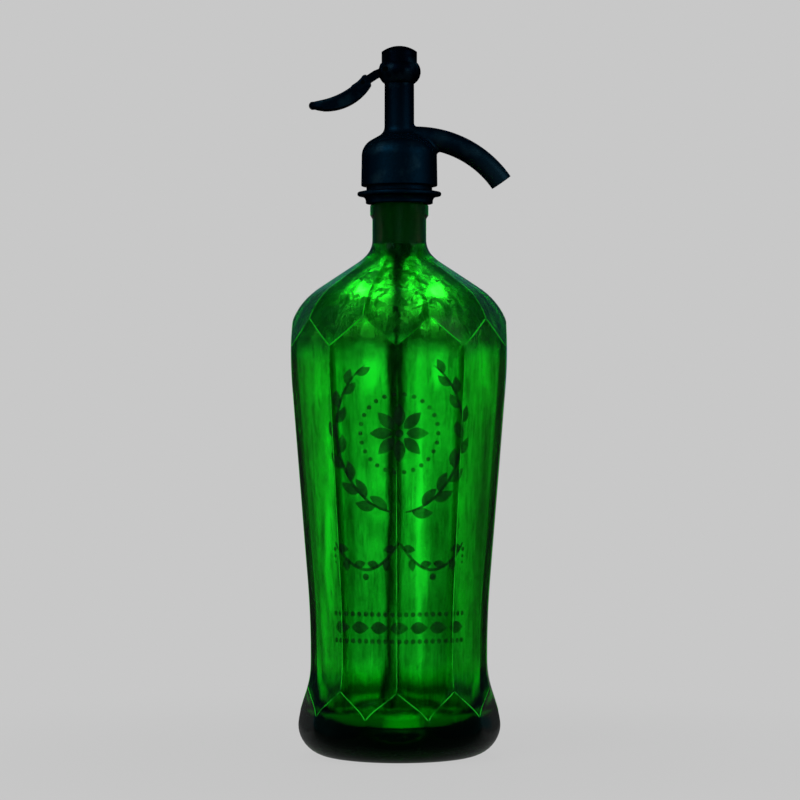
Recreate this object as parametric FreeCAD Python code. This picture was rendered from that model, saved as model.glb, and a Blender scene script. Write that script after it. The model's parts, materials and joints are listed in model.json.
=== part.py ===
import FreeCAD, Part
import math
import os

V = FreeCAD.Vector

# Glass bottle, standing on Z = 0
panels = 10
panel_turn = -1.5
panel_bow = 160.0
bottom_z = -2.0
heel_r = 44.3
heel_round = 13.8
heel_panel_r = 41.4
waist_r = 38.45
waist_low = 34.9
waist_high = 60.5
shoulder_r = 47.4
shoulder_z = 172.2
crown_r = 42.22
crown_z = 198.28
wall = 5.4
floor_z = 14.5
neck_r = 11.8
neck_z = 219.65
neck_bore = 8.2
neck_bore_z = 215.2
band_r = 12.77
band_z = 235.9
band_chamfer = 1.6
groove_z = 240.4
groove_r = 10.6
bead_z = 249.4
bead_r = 12.0
lip_z = 254.0
push_up = 6.5
stand_r = 28.0
clear_r = 54.0
clear_z = 260.0

# Collar, clamped under the bead of the glass by the split ring
collar_z = 240.9
collar_bore = 12.2
collar_foot_r = 14.65
collar_seat_z = 242.6
collar_seat_r = 13.1
flange_r = 18.35
flange_z = 243.9
flange_tip = (244.35, 245.95)
flange_top = 246.7
flange_hollow = 2.2
relief_r = 14.4
thread_r = 15.0
thread_fit = 0.05
seat_fit = 0.05
split_gap = 0.4

# Head casting
head_seat_z = 256.0
skirt_z = 248.6
skirt_r = 16.7
skirt_top_r = 16.4
skirt_top_z = 266.5
shoulder_round = 8.0
gullet_r = 5.85
seat_z = 264.4
chamber_r = 5.0
chamber_z = 273.6
chimney_r = 6.45
chimney_z = 272.1
chimney_round = 4.5
chimney_bore = 3.7
boss_z = 298.9
boss_r = 9.37
boss_rise = 5.42
boss_top = 302.4
boss_top_r = 8.1
spigot_r = 6.0
spigot_z = 305.5
overall_z = 310.0
cap_r = 7.75
cap_edge_z = 307.4
cap_roof = 307.6
cap_hollow = 3.9

# Spout, a bent pipe with a straight drilled end
spout_r = 4.9
spout_bore = 2.3
spout_bend = 45.6
spout_x = 7.18
spout_z = 269.9
spout_sweep = 55.3
spout_root = 1.4
outlet_r = 2.6
outlet_depth = 9.0

# Lever, its slot through the boss and its thumb piece
pivot = (-6.0, 299.2)
nose = (0.0, 298.9)
elbow = (-10.3, 297.5)
tang_end = (-19.5, 291.4)
lever_width = 3.6
slot_width = 4.3
slot_x = (-12.0, -3.0)
slot_z = (294.3, 301.7)
pin_r = 1.2
pin_length = 14.2
nose_r = 1.6
nose_half = 0.9
eye_r = 2.2
stem_half = 1.75
rivet_share = 0.62
rivet_r = 0.9
rivet_length = 8.4
thumb_round = 1.0

# Plunger and valve
piston_r = 3.63
piston_z = 275.5
cup_z = (277.0, 280.0)
cup_bore = 2.6
stem_r = 2.2
disc_r = 3.6
disc_z = 264.92
disc_thick = 1.98
plunger_foot_r = 3.4
plunger_foot_z = 268.1
plunger_top = 301.8
guide_r = 2.3
guide_z = 303.6
screw_r = 1.0
screw_top = 271.0
screw_head_r = 1.7
screw_head = 1.3
seat_r = 5.8
lip_r = 2.9
lip_rise = 0.5
spring_r = 2.85
spring_wire = 0.35
spring_turns = 4

# Dip tube, hanging a little out of plumb, with its holder and boot
tube_r = 3.5
tube_bore = 2.2
tube_bottom = 18.5
tube_top = 258.8
tube_lean = 0.9
lean_z = 250.0
holder_bore = 3.8
holder_step_z = 259.0
holder_top = 262.0
holder_flange_z = 253.0
sleeve_z = 240.0
sleeve_r = 5.2
boot_r = 7.6
boot_step_z = 222.0
boot_step_r = 6.2
boot_end_z = 214.0
boot_end_r = 4.6


def profile(*corners):
    """Closed outline in the XZ plane from corners (x, z) or (x, z, radius)."""
    points = [V(c[0], 0, c[1]) for c in corners]
    count = len(points)
    bends = []
    for i, p in enumerate(points):
        r = corners[i][2] if len(corners[i]) > 2 else 0
        back = (points[i - 1] - p).normalize()
        ahead = (points[(i + 1) % count] - p).normalize()
        half = back.getAngle(ahead) / 2
        reach = r / math.tan(half)
        inward = r / math.sin(half) - r
        top = p + (back + ahead).normalize() * inward if r else p
        bends.append((p + back * reach, top, p + ahead * reach, r))
    edges = []
    for i, (start, top, end, r) in enumerate(bends):
        if r:
            edges.append(Part.Arc(start, top, end).toShape())
        edges.append(Part.makeLine(end, bends[(i + 1) % count][0]))
    return Part.Face(Part.Wire(edges))


def turned(*corners):
    return profile(*corners).revolve(V(), V(0, 0, 1), 360)


def rod(r, bottom, top):
    return Part.makeCylinder(r, top - bottom, V(0, 0, bottom))


def ring(inner, outer, bottom, top):
    return rod(outer, bottom, top).cut(rod(inner, bottom, top))


def cross_pin(r, at, width):
    return Part.makeCylinder(r, width, V(at[0], -width / 2, at[1]), V(0, 1, 0))


def block(x0, x1, width, z0, z1):
    return Part.makeBox(x1 - x0, width, z1 - z0, V(x0, -width / 2, z0))


def link(start, end, half, width):
    """Flat bar with round ends from one point of the XZ plane to another."""
    run = V(end[0] - start[0], 0, end[1] - start[1])
    side = V(-run.z, 0, run.x).normalize() * half
    a = V(start[0], -width / 2, start[1])
    b = a + run
    bar = Part.Face(Part.makePolygon([a + side, b + side, b - side, a - side, a + side]))
    bar = bar.extrude(V(0, width, 0))
    return bar.fuse([cross_pin(half, start, width), cross_pin(half, end, width)])


def panelled(offset, *corners):
    """One slightly bowed panel to a given outline, repeated round the axis."""
    bow = V(-panel_bow, 0, 0)
    face = profile((-panel_bow, corners[0][1]), *corners, (-panel_bow, corners[-1][1]))
    sector = math.pi / panels
    swing = math.degrees(math.atan(clear_r * math.tan(sector) / panel_bow))
    face.rotate(bow, V(0, 0, 1), -swing)
    slab = face.revolve(bow, V(0, 0, 1), 2 * swing)
    reach = 2 * clear_r
    side = V(reach, reach * math.tan(sector), bottom_z)
    foot = V(0, 0, bottom_z)
    plan = Part.makePolygon([foot, V(side.x, -side.y, side.z), side, foot])
    wedge = slab.common(Part.Face(plan).extrude(V(0, 0, clear_z - bottom_z)))
    wedges = []
    for k in range(panels):
        turn = wedge.copy()
        turn.rotate(V(), V(0, 0, 1), panel_turn + (k + offset) * 360 / panels)
        wedges.append(turn)
    return wedges[0].fuse(wedges[1:]).removeSplitter()


def glass_bottle():
    body = panelled(
        0,
        (50.2, bottom_z),
        (waist_r, waist_low, 42),
        (waist_r, waist_high, 386),
        (shoulder_r, shoulder_z, 200),
        (46.2, 204),
        (46.2, clear_z),
    )
    ends = panelled(
        0.5,
        (45.5, bottom_z),
        (heel_panel_r, 21.5, 30),
        (heel_panel_r, 38),
        (clear_r, 70),
        (clear_r, 163),
        (crown_r, crown_z, 30),
        (13.2, 218.08, 9),
        (13.2, clear_z),
    )
    round_ends = turned(
        (0, 0),
        (heel_r, 0, heel_round),
        (heel_r, 24),
        (53, 40),
        (53, 192.6),
        (neck_r, neck_z, 10),
        (neck_r, band_z - band_chamfer),
        (band_r, band_z),
        (band_r, groove_z, 0.6),
        (groove_r, groove_z),
        (groove_r, bead_z),
        (bead_r, bead_z),
        (bead_r, lip_z, 1),
        (0, lip_z),
    )
    inside = turned(
        (0, floor_z),
        (waist_r - wall, floor_z - 2, 11),
        (waist_r - wall, waist_high, 300),
        (shoulder_r - wall, shoulder_z, 150),
        (shoulder_r - wall - 0.6, 193, 11),
        (neck_bore, neck_bore_z, 8),
        (neck_bore, clear_z),
        (0, clear_z),
    )
    dome_r = (stand_r**2 + push_up**2) / (2 * push_up)
    kick = Part.makeSphere(dome_r, V(0, 0, push_up - dome_r))
    return round_ends.common(body).common(ends).cut(inside).cut(kick)


def neck_collar():
    return turned(
        (collar_bore, collar_z),
        (collar_foot_r, collar_z, 0.4),
        (collar_foot_r + 0.1, flange_z, flange_hollow),
        (flange_r, flange_tip[0], 0.7),
        (flange_r, flange_tip[1], 0.7),
        (relief_r, flange_top),
        (relief_r, skirt_z),
        (thread_r, skirt_z + 0.4),
        (thread_r, head_seat_z - 0.6),
        (collar_seat_r, head_seat_z - 0.6),
        (collar_seat_r, collar_seat_z),
        (collar_bore, collar_seat_z),
    )


def split_ring(side):
    whole = ring(groove_r + seat_fit, collar_seat_r - seat_fit, collar_seat_z, bead_z)
    half = Part.makeBox(2 * bead_z, bead_z, bead_z, V(-bead_z, split_gap / 2, collar_z))
    if side < 0:
        half.rotate(V(), V(0, 0, 1), 180)
    return whole.common(half)


def neck_washer():
    return ring(neck_bore + 0.2, bead_r + 0.6, lip_z, head_seat_z)


def boss():
    foot = V(chimney_r, 0, boss_z - boss_rise)
    top = V(boss_top_r, 0, boss_top)
    side = Part.Arc(foot, V(boss_r, 0, boss_z), top).toShape()
    rest = Part.makePolygon([top, V(0, 0, top.z), V(0, 0, foot.z), foot])
    return Part.Face(Part.Wire([side] + rest.Edges)).revolve(V(), V(0, 0, 1), 360)


def bent_pipe(r):
    """Round bar from the axis, level at first and then round the spout's bend."""
    start = V(spout_x, 0, spout_z)
    level = Part.makeCylinder(r, spout_x, V(0, 0, spout_z), V(1, 0, 0))
    section = Part.Face(Part.Wire(Part.makeCircle(r, start, V(1, 0, 0))))
    bend = section.revolve(V(spout_x, 0, spout_z - spout_bend), V(0, 1, 0), spout_sweep)
    return level.fuse(bend)


def outlet():
    a = math.radians(spout_sweep)
    centre_z = spout_z - spout_bend
    tip = V(spout_x + spout_bend * math.sin(a), 0, centre_z + spout_bend * math.cos(a))
    way = V(math.cos(a), 0, -math.sin(a))
    return Part.makeCylinder(outlet_r, outlet_depth + 1, tip + way, way * -1)


def off_spout(p):
    """Distance of a point from the middle line of the spout."""
    if p.x < spout_x:
        return math.hypot(p.y, p.z - spout_z)
    from_centre = math.hypot(p.x - spout_x, p.z - spout_z + spout_bend)
    return math.hypot(p.y, from_centre - spout_bend)


def spout_root_edges(casting):
    """Edges where the spout leaves the chimney and the shoulder."""
    found = []
    for edge in casting.Edges:
        first, last = edge.ParameterRange
        points = [edge.valueAt(first + (last - first) * share) for share in (0.1, 0.5, 0.9)]
        if all(abs(off_spout(p) - spout_r) < 0.01 and p.x < skirt_r for p in points):
            found.append(edge)
    return found


def siphon_head():
    casting = turned(
        (0, skirt_z),
        (skirt_r, skirt_z, 0.5),
        (skirt_top_r, skirt_top_z, shoulder_round),
        (chimney_r + 0.05, chimney_z, chimney_round),
        (chimney_r, boss_z - boss_rise + 1),
        (0, boss_z - boss_rise + 1),
    )
    spigot = rod(spigot_r, boss_top - 1, spigot_z)
    casting = casting.fuse([boss(), spigot, bent_pipe(spout_r)]).removeSplitter()
    casting = casting.makeFillet(spout_root, spout_root_edges(casting))
    hollows = [
        rod(thread_r + thread_fit, skirt_z - 1, head_seat_z),
        rod(gullet_r, head_seat_z - 1, seat_z),
        rod(chamber_r, seat_z - 1, chamber_z),
        rod(chimney_bore, chamber_z - 1, spigot_z + 1),
        bent_pipe(spout_bore),
        outlet(),
        block(*slot_x, slot_width, *slot_z),
        cross_pin(pin_r + 0.01, pivot, 2 * pin_length),
    ]
    return casting.cut(hollows)


def top_cap():
    crown = V(0, 0, overall_z)
    edge = V(cap_r, 0, cap_edge_z)
    dome_r = (cap_r**2 + (overall_z - cap_edge_z) ** 2) / (2 * (overall_z - cap_edge_z))
    middle = V(cap_r / 2, 0, overall_z - dome_r + math.sqrt(dome_r**2 - cap_r**2 / 4))
    sides = Part.makePolygon([crown, V(0, 0, boss_top), V(cap_r, 0, boss_top), edge])
    outline = sides.Edges + [Part.Arc(edge, middle, crown).toShape()]
    body = Part.Face(Part.Wire(outline)).revolve(V(), V(0, 0, 1), 360)
    screw = rod(spigot_r + thread_fit, boss_top - 1, spigot_z + 0.1)
    return body.cut([screw, rod(cap_hollow, spigot_z, cap_roof)])


def rivet_at():
    return [a + rivet_share * (b - a) for a, b in zip(elbow, tang_end)]


def rivet_hole():
    return cross_pin(rivet_r + 0.02, rivet_at(), 2 * rivet_length)


def lever_arm():
    bars = [
        cross_pin(nose_r, nose, lever_width),
        cross_pin(eye_r, pivot, lever_width),
        link(pivot, elbow, stem_half, lever_width),
        link(elbow, tang_end, stem_half, lever_width),
    ]
    arm = link(pivot, nose, nose_half, lever_width).fuse(bars).removeSplitter()
    return arm.cut([cross_pin(pin_r + 0.05, pivot, pin_length), rivet_hole()])


def lever_pivot_pin():
    return cross_pin(pin_r, pivot, pin_length)


def thumb_side():
    """Side outline of the thumb piece, a thick root falling to a thin raised tip."""
    low = V(-12.3, 0, 292.9)
    step = V(-12.7, 0, 294.4)
    brow = V(-14.4, 0, 297.1)
    crest = V(-16.6, 0, 295.9)
    high = V(-37.5, 0, 285.3)
    under = V(-37.2, 0, 282.5)
    edges = [
        Part.Arc(crest, V(-24, 0, 289.9), high).toShape(),
        Part.Arc(high, V(-39.6, 0, 283.9), under).toShape(),
        Part.Arc(under, V(-22, 0, 284.1), low).toShape(),
        Part.makeLine(low, step),
        Part.makeLine(step, brow),
        Part.Arc(brow, V(-15.8, 0, 296.9), crest).toShape(),
    ]
    return Part.Face(Part.Wire(edges))


def thumb_plan():
    """Plan outline of the thumb piece, widest near the tip."""
    root = V(-11, 4.0, 0)
    belly = V(-33.4, 6.0, 0)
    ends = [V(p.x, -p.y, 0) for p in (root, belly)]
    edges = [
        Part.Arc(root, V(-22, 4.5, 0), belly).toShape(),
        Part.Arc(belly, V(-39.6, 0, 0), ends[1]).toShape(),
        Part.Arc(ends[1], V(-22, -4.5, 0), ends[0]).toShape(),
        Part.makeLine(ends[0], root),
    ]
    return Part.Face(Part.Wire(edges))


def lever_thumb_piece():
    width = 4 * lever_width
    side = thumb_side()
    side.translate(V(0, -width / 2, 0))
    solid = side.extrude(V(0, width, 0)).common(thumb_plan().extrude(V(0, 0, overall_z)))
    root_x = elbow[0] - 2.6
    solid = solid.makeFillet(thumb_round, [e for e in solid.Edges if e.BoundBox.XMax < root_x])
    socket = link(elbow, tang_end, stem_half + 0.02, lever_width + 0.04)
    return solid.cut([socket, rivet_hole()])


def thumb_rivet():
    return cross_pin(rivet_r, rivet_at(), rivet_length)


def plunger():
    body = turned(
        (0, disc_z + disc_thick),
        (plunger_foot_r, disc_z + disc_thick),
        (plunger_foot_r, plunger_foot_z),
        (stem_r, plunger_foot_z),
        (stem_r, piston_z),
        (piston_r, piston_z),
        (piston_r, cup_z[0]),
        (cup_bore, cup_z[0]),
        (cup_bore, cup_z[1]),
        (piston_r, cup_z[1]),
        (piston_r, plunger_top),
        (guide_r, plunger_top),
        (guide_r, guide_z, 0.5),
        (0, guide_z),
    )
    window = block(-5, nose_r + 0.3, lever_width + 0.6, nose[1] - 2.6, nose[1] + nose_r + 0.3)
    return body.cut([window, rod(screw_r + 0.02, disc_z, screw_top + 0.3)])


def cup_washer():
    return ring(cup_bore + seat_fit, chimney_bore - seat_fit, *cup_z)


def valve_disc():
    return ring(screw_r + seat_fit, disc_r, disc_z, disc_z + disc_thick)


def valve_screw():
    head = rod(screw_head_r, disc_z - screw_head, disc_z)
    kerf = block(-3, 3, 0.5, disc_z - screw_head - 0.1, disc_z - 0.8)
    return head.fuse(rod(screw_r, disc_z, screw_top)).removeSplitter().cut(kerf)


def valve_seat():
    lip = ring(tube_bore, lip_r, seat_z, seat_z + lip_rise)
    return ring(tube_bore, seat_r, holder_top, seat_z).fuse(lip).removeSplitter()


def plunger_spring():
    """Round wire wound at an even pitch between the plunger and the cap's roof."""
    low = plunger_top + spring_wire
    rise = (cap_roof - spring_wire - low) / spring_turns

    def at(turn):
        a = 2 * math.pi * turn
        return V(spring_r * math.cos(a), spring_r * math.sin(a), low + rise * turn)

    quarters = [k / 4 for k in range(4 * spring_turns)]
    arcs = [Part.Arc(at(t), at(t + 0.125), at(t + 0.25)).toShape() for t in quarters]
    path = Part.Wire(arcs)
    gap = min((at(t) - at(t + 1)).Length for t in quarters[:-4]) - 2 * spring_wire
    print("spring: least gap between turns", round(gap, 3), "mm")
    heading = arcs[0].tangentAt(arcs[0].FirstParameter)
    section = Part.Wire(Part.makeCircle(spring_wire, at(0), heading))
    return path.makePipeShell([section], True, False)


def tube_holder():
    return turned(
        (holder_bore, sleeve_z),
        (sleeve_r, sleeve_z),
        (sleeve_r, holder_flange_z),
        (neck_bore - 0.2, holder_flange_z),
        (neck_bore - 0.2, head_seat_z),
        (seat_r, head_seat_z),
        (seat_r, holder_top),
        (tube_bore, holder_top),
        (tube_bore, holder_step_z),
        (holder_bore, holder_step_z),
    )


def leaning(shape):
    shape.rotate(V(0, 0, lean_z), V(0, 1, 0), tube_lean)
    return shape


def tube_boot():
    body = turned(
        (0, boot_end_z),
        (boot_end_r, boot_end_z, 0.4),
        (boot_step_r, boot_step_z),
        (boot_r, boot_step_z, 0.8),
        (boot_r, holder_flange_z),
        (0, holder_flange_z),
    )
    sleeve = rod(sleeve_r + 0.02, sleeve_z, holder_flange_z)
    return body.cut([sleeve, leaning(rod(tube_r + 0.02, tube_bottom, tube_top))])


def dip_tube():
    return leaning(ring(tube_bore, tube_r, tube_bottom, tube_top))


parts = {
    "glass_bottle": glass_bottle(),
    "neck_collar": neck_collar(),
    "split_ring_front": split_ring(-1),
    "split_ring_back": split_ring(1),
    "neck_washer": neck_washer(),
    "siphon_head": siphon_head(),
    "top_cap": top_cap(),
    "lever_arm": lever_arm(),
    "lever_pivot_pin": lever_pivot_pin(),
    "lever_thumb_piece": lever_thumb_piece(),
    "thumb_rivet": thumb_rivet(),
    "plunger": plunger(),
    "cup_washer": cup_washer(),
    "valve_disc": valve_disc(),
    "valve_screw": valve_screw(),
    "valve_seat": valve_seat(),
    "plunger_spring": plunger_spring(),
    "tube_holder": tube_holder(),
    "tube_boot": tube_boot(),
    "dip_tube": dip_tube(),
}
os.makedirs("parts", exist_ok=True)
for name, shape in parts.items():
    shape.exportStep("parts/" + name + ".step")
    box = shape.BoundBox
    print(name, len(shape.Solids), shape.isValid(), round(shape.Volume / 1000, 3), "cm3", end=" ")
    print([round(v, 2) for v in (box.XMin, box.XMax, box.YMin, box.YMax, box.ZMin, box.ZMax)])
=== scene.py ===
import json
import math
import bpy
import numpy as np
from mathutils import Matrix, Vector


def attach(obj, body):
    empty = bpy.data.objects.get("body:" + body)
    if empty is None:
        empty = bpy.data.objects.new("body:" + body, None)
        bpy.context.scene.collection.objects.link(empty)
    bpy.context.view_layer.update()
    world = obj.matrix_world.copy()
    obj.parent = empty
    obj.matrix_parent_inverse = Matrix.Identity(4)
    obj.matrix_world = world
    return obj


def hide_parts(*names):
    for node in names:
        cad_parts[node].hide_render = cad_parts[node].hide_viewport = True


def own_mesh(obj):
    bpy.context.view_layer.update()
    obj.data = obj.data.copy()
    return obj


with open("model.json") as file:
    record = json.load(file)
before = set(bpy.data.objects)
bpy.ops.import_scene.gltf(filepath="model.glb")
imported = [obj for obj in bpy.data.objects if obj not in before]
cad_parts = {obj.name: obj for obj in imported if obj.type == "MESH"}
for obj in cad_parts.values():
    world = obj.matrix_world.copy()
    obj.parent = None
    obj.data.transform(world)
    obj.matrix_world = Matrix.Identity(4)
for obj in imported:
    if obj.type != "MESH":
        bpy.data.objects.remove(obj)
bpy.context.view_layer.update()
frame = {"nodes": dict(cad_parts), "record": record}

mm = 0.001


# sRGB hex to linear red, green, blue and alpha
def hexColour(code):
    parts = [int(code[i:i + 2], 16) / 255 for i in (1, 3, 5)]
    linear = [c / 12.92 if c <= 0.04045 else ((c + 0.055) / 1.055) ** 2.4 for c in parts]
    return (*linear, 1.0)


# one shader node, with its settings, and its inputs as constants or links
def addNode(tree, kind, inputs=None, **settings):
    node = tree.nodes.new("ShaderNode" + kind)
    for name, value in settings.items():
        setattr(node, name, value)
    for name, value in (inputs or {}).items():
        if isinstance(value, bpy.types.NodeSocket):
            tree.links.new(value, node.inputs[name])
        else:
            node.inputs[name].default_value = value
    return node


def newMaterial(name):
    material = bpy.data.materials.new(name)
    material.use_nodes = True
    material.node_tree.nodes.clear()
    return material, material.node_tree


# 0 before start, 1 past end, and even between them
def fade(value, start, end):
    return np.clip((value - start) / (end - start), 0, 1)


# points (radius, height) along corners (r, z) or (r, z, round): straight runs cut every step,
# and each round as an arc through its two tangent points
def roundedProfile(corners, step):
    at = np.array([c[:2] for c in corners], float)
    rounds = [c[2] if len(c) > 2 else 0 for c in corners]
    points = [at[:1]]
    for i in range(1, len(at)):
        corner = at[i]
        if i == len(at) - 1 or not rounds[i]:
            turn = corner[None]
        else:
            back, ahead = at[i - 1] - corner, at[i + 1] - corner
            back, ahead = back / np.hypot(*back), ahead / np.hypot(*ahead)
            half = math.acos(np.clip(back @ ahead, -1, 1)) / 2
            middle = back + ahead
            centre = corner + middle / np.hypot(*middle) * rounds[i] / math.sin(half)
            start, end = [corner + way * rounds[i] / math.tan(half) - centre for way in (back, ahead)]
            sweep = math.pi - 2 * half
            share = np.linspace(0, 1, 2 + int(max(4, sweep * rounds[i] / step)))[:, None]
            arc = np.sin((1 - share) * sweep) * start + np.sin(share * sweep) * end
            turn = arc / math.sin(sweep) + centre
        gap = np.hypot(*(turn[0] - points[-1][-1]))
        share = np.linspace(0, 1, 2 + int(gap / step))[1:-1, None]
        points += [points[-1][-1] + (turn[0] - points[-1][-1]) * share, turn]
    return np.concatenate(points)


def smoothMesh(name, corners, faces):
    mesh = bpy.data.meshes.new(name)
    mesh.from_pydata(corners.tolist(), [], faces)
    mesh.polygons.foreach_set("use_smooth", np.ones(len(mesh.polygons), bool))
    mesh.update()
    return mesh


# rings of points, each closed round the axis, with a pole at either end; one shell facing outwards
def ringedMesh(name, rings, firstPole, lastPole):
    rows, columns = rings.shape[:2]
    index = np.arange(rows * columns).reshape(rows, columns)
    beside = np.roll(index, -1, axis=1)
    quads = np.stack([index[:-1], beside[:-1], beside[1:], index[1:]], -1).reshape(-1, 4)
    poles = np.full((2, columns), rows * columns) + [[0], [1]]
    fans = np.concatenate([np.stack([poles[0], beside[0], index[0]], -1),
                           np.stack([poles[1], index[-1], beside[-1]], -1)])
    corners = np.concatenate([rings.reshape(-1, 3), [firstPole, lastPole]])
    return smoothMesh(name, corners, quads.tolist() + fans.tolist())


def addPiece(mesh, material):
    piece = bpy.data.objects.new(mesh.name, mesh)
    bpy.context.scene.collection.objects.link(piece)
    mesh.materials.append(material)
    return piece


# in mm and degrees; a profile's corners are (radius, height) or (radius, height, round)
bottle = dict(
    panels=10, turn=-1.5, bow=160.0, sharpness=260.0,
    body=[(50.2, -2), (38.45, 34.9, 42), (38.45, 60.5, 386), (47.4, 172.2, 200), (46.2, 204), (46.2, 260)],
    ends=[(45.5, -2), (41.4, 21.5, 30), (41.4, 38), (54, 70), (54, 163), (42.22, 198.28, 30),
          (13.2, 218.08, 9), (13.2, 260)],
    round=[(30.5, 0), (44.3, 0, 13.8), (44.3, 24), (53, 40), (53, 192.6), (11.8, 219.65, 10), (11.8, 260)],
    neck=[(11.8, 226), (11.8, 234.3, 0.5), (12.77, 235.9, 0.5), (12.77, 240.4, 0.6), (10.6, 240.4, 0.2),
          (10.6, 249.4, 0.2), (12, 249.4, 0.3), (12, 254, 1), (8.2, 254, 0.4), (7.5, 250)],
    inside=[(7.5, 250), (7.5, 224), (8.2, 215.2, 8), (38.0, 195.1, 25), (41.9, 183.4, 20),
            (41.6, 172.2, 150), (33.05, 60.5, 300), (33.05, 12.5, 11), (3.0, 14.32)],
    zigzags=[(15, 36), (168, 200)], zigzagSteps=600,  # the heights that hold heel and shoulder zigzags
    floorHeight=14.5, pushUp=6.5, standRadius=28.0, domeHole=3.0, domeRings=12,
    columnsPerEdge=16, heelRows=22, bodyRows=58, shoulderRows=38, profileStep=3.0, tableStep=0.5,
    ripple=0.13, rippleRadius=(12, 24), skinRipple=0.02, skinPhase=2.0, skinFoot=(2, 14), skinTop=(222, 210),
    bodySharpness=220.0, bodyCrease=(26, 40), crownSharpness=22.0, crownCrease=(176, 190), crownRadius=(12, 26),
    rubbedGap=0.45,
)


# steps from 0 to 1, crowded towards both ends
def crowded(count, strength=0.93):
    t = np.linspace(0, 1, count)
    return t - strength * np.sin(2 * np.pi * t) / (2 * np.pi)


# radius of a profile at each height, by straight interpolation between its points
def radiusAt(corners, z):
    line = roundedProfile(corners, bottle["tableStep"])
    return np.interp(z, line[:, 1], line[:, 0])


# ten bowed panels: each is an arc of radius apothem + bow about a point bow behind the axis, and the
# nearest two count at any angle
def panelRadii(apothem, angle, first):
    pitch = 2 * np.pi / bottle["panels"]
    off = (angle - first + pitch / 2) % pitch - pitch / 2
    bow = bottle["bow"]
    offs = (off, off - np.copysign(pitch, off))
    return [-bow * np.cos(o) + np.sqrt((apothem + bow) ** 2 - (bow * np.sin(o)) ** 2) for o in offs]


# outside radius: soft least of the tall panels, the short end panels and the round ends; with it, the
# gap in mm to the next surface, which is nought on an edge
def glassRadius(angle, z):
    turn = math.radians(bottle["turn"])
    tall = panelRadii(radiusAt(bottle["body"], z), angle, turn)
    short = panelRadii(radiusAt(bottle["ends"], z), angle, turn + np.pi / bottle["panels"])
    radii = np.sort(np.stack(np.broadcast_arrays(*tall, *short, radiusAt(bottle["round"], z))), axis=0)
    least = radii[0]
    soft = least * ((least / radii) ** bottle["sharpness"]).sum(0) ** (-1 / bottle["sharpness"])
    return soft, radii[1] - least


# height at each angle where tall and short panels meet, which zigzags round heel and shoulder
def zigzag(angle, low, high):
    z = np.linspace(low, high, bottle["zigzagSteps"])[:, None]
    turn = math.radians(bottle["turn"])
    tall, short = [np.minimum(*panelRadii(radiusAt(bottle[profile], z), angle[None], first))
                   for profile, first in (("body", turn), ("ends", turn + np.pi / bottle["panels"]))]
    split = np.sign(tall - short)
    row = np.argmax(split[1:] != split[:-1], axis=0)
    return z[row, 0]


# slow waves of the mould-blown wall, longer up the bottle than round it: sines of the angle whose phase
# sways with height, each (count round, length up, phase, size)
waves = [(7, 41, 0.3, 1.0), (12, 63, 1.9, 0.8), (17, 37, 4.1, 0.7), (23, 90, 2.2, 0.6), (31, 55, 5.0, 0.45)]


def ripples(angle, z, sway=1.3, level=2.2):
    total = sum(size * np.sin(count * angle + phase + sway * np.sin(2 * np.pi * z / length + phase))
                for count, length, phase, size in waves)
    return total / level


# inside radius: the round profile drawn out to softened panels, tall ones in the body and short ones in
# the shoulder
def hollowRadius(radius, angle, z):
    turn = math.radians(bottle["turn"])
    upper = fade(z, *bottle["crownCrease"])
    body = fade(z, *bottle["bodyCrease"]) * (1 - upper)
    crown = upper * fade(radius, *bottle["crownRadius"])
    drawn = radius
    for first, share, power in ((turn, body, bottle["bodySharpness"]),
                                (turn + np.pi / bottle["panels"], crown, bottle["crownSharpness"])):
        sides = np.stack(np.broadcast_arrays(*panelRadii(radius, angle, first)))
        least = sides.min(0)
        drawn = drawn + share * (least * ((least / sides) ** power).sum(0) ** (-1 / power) - radius)
    return drawn


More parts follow.
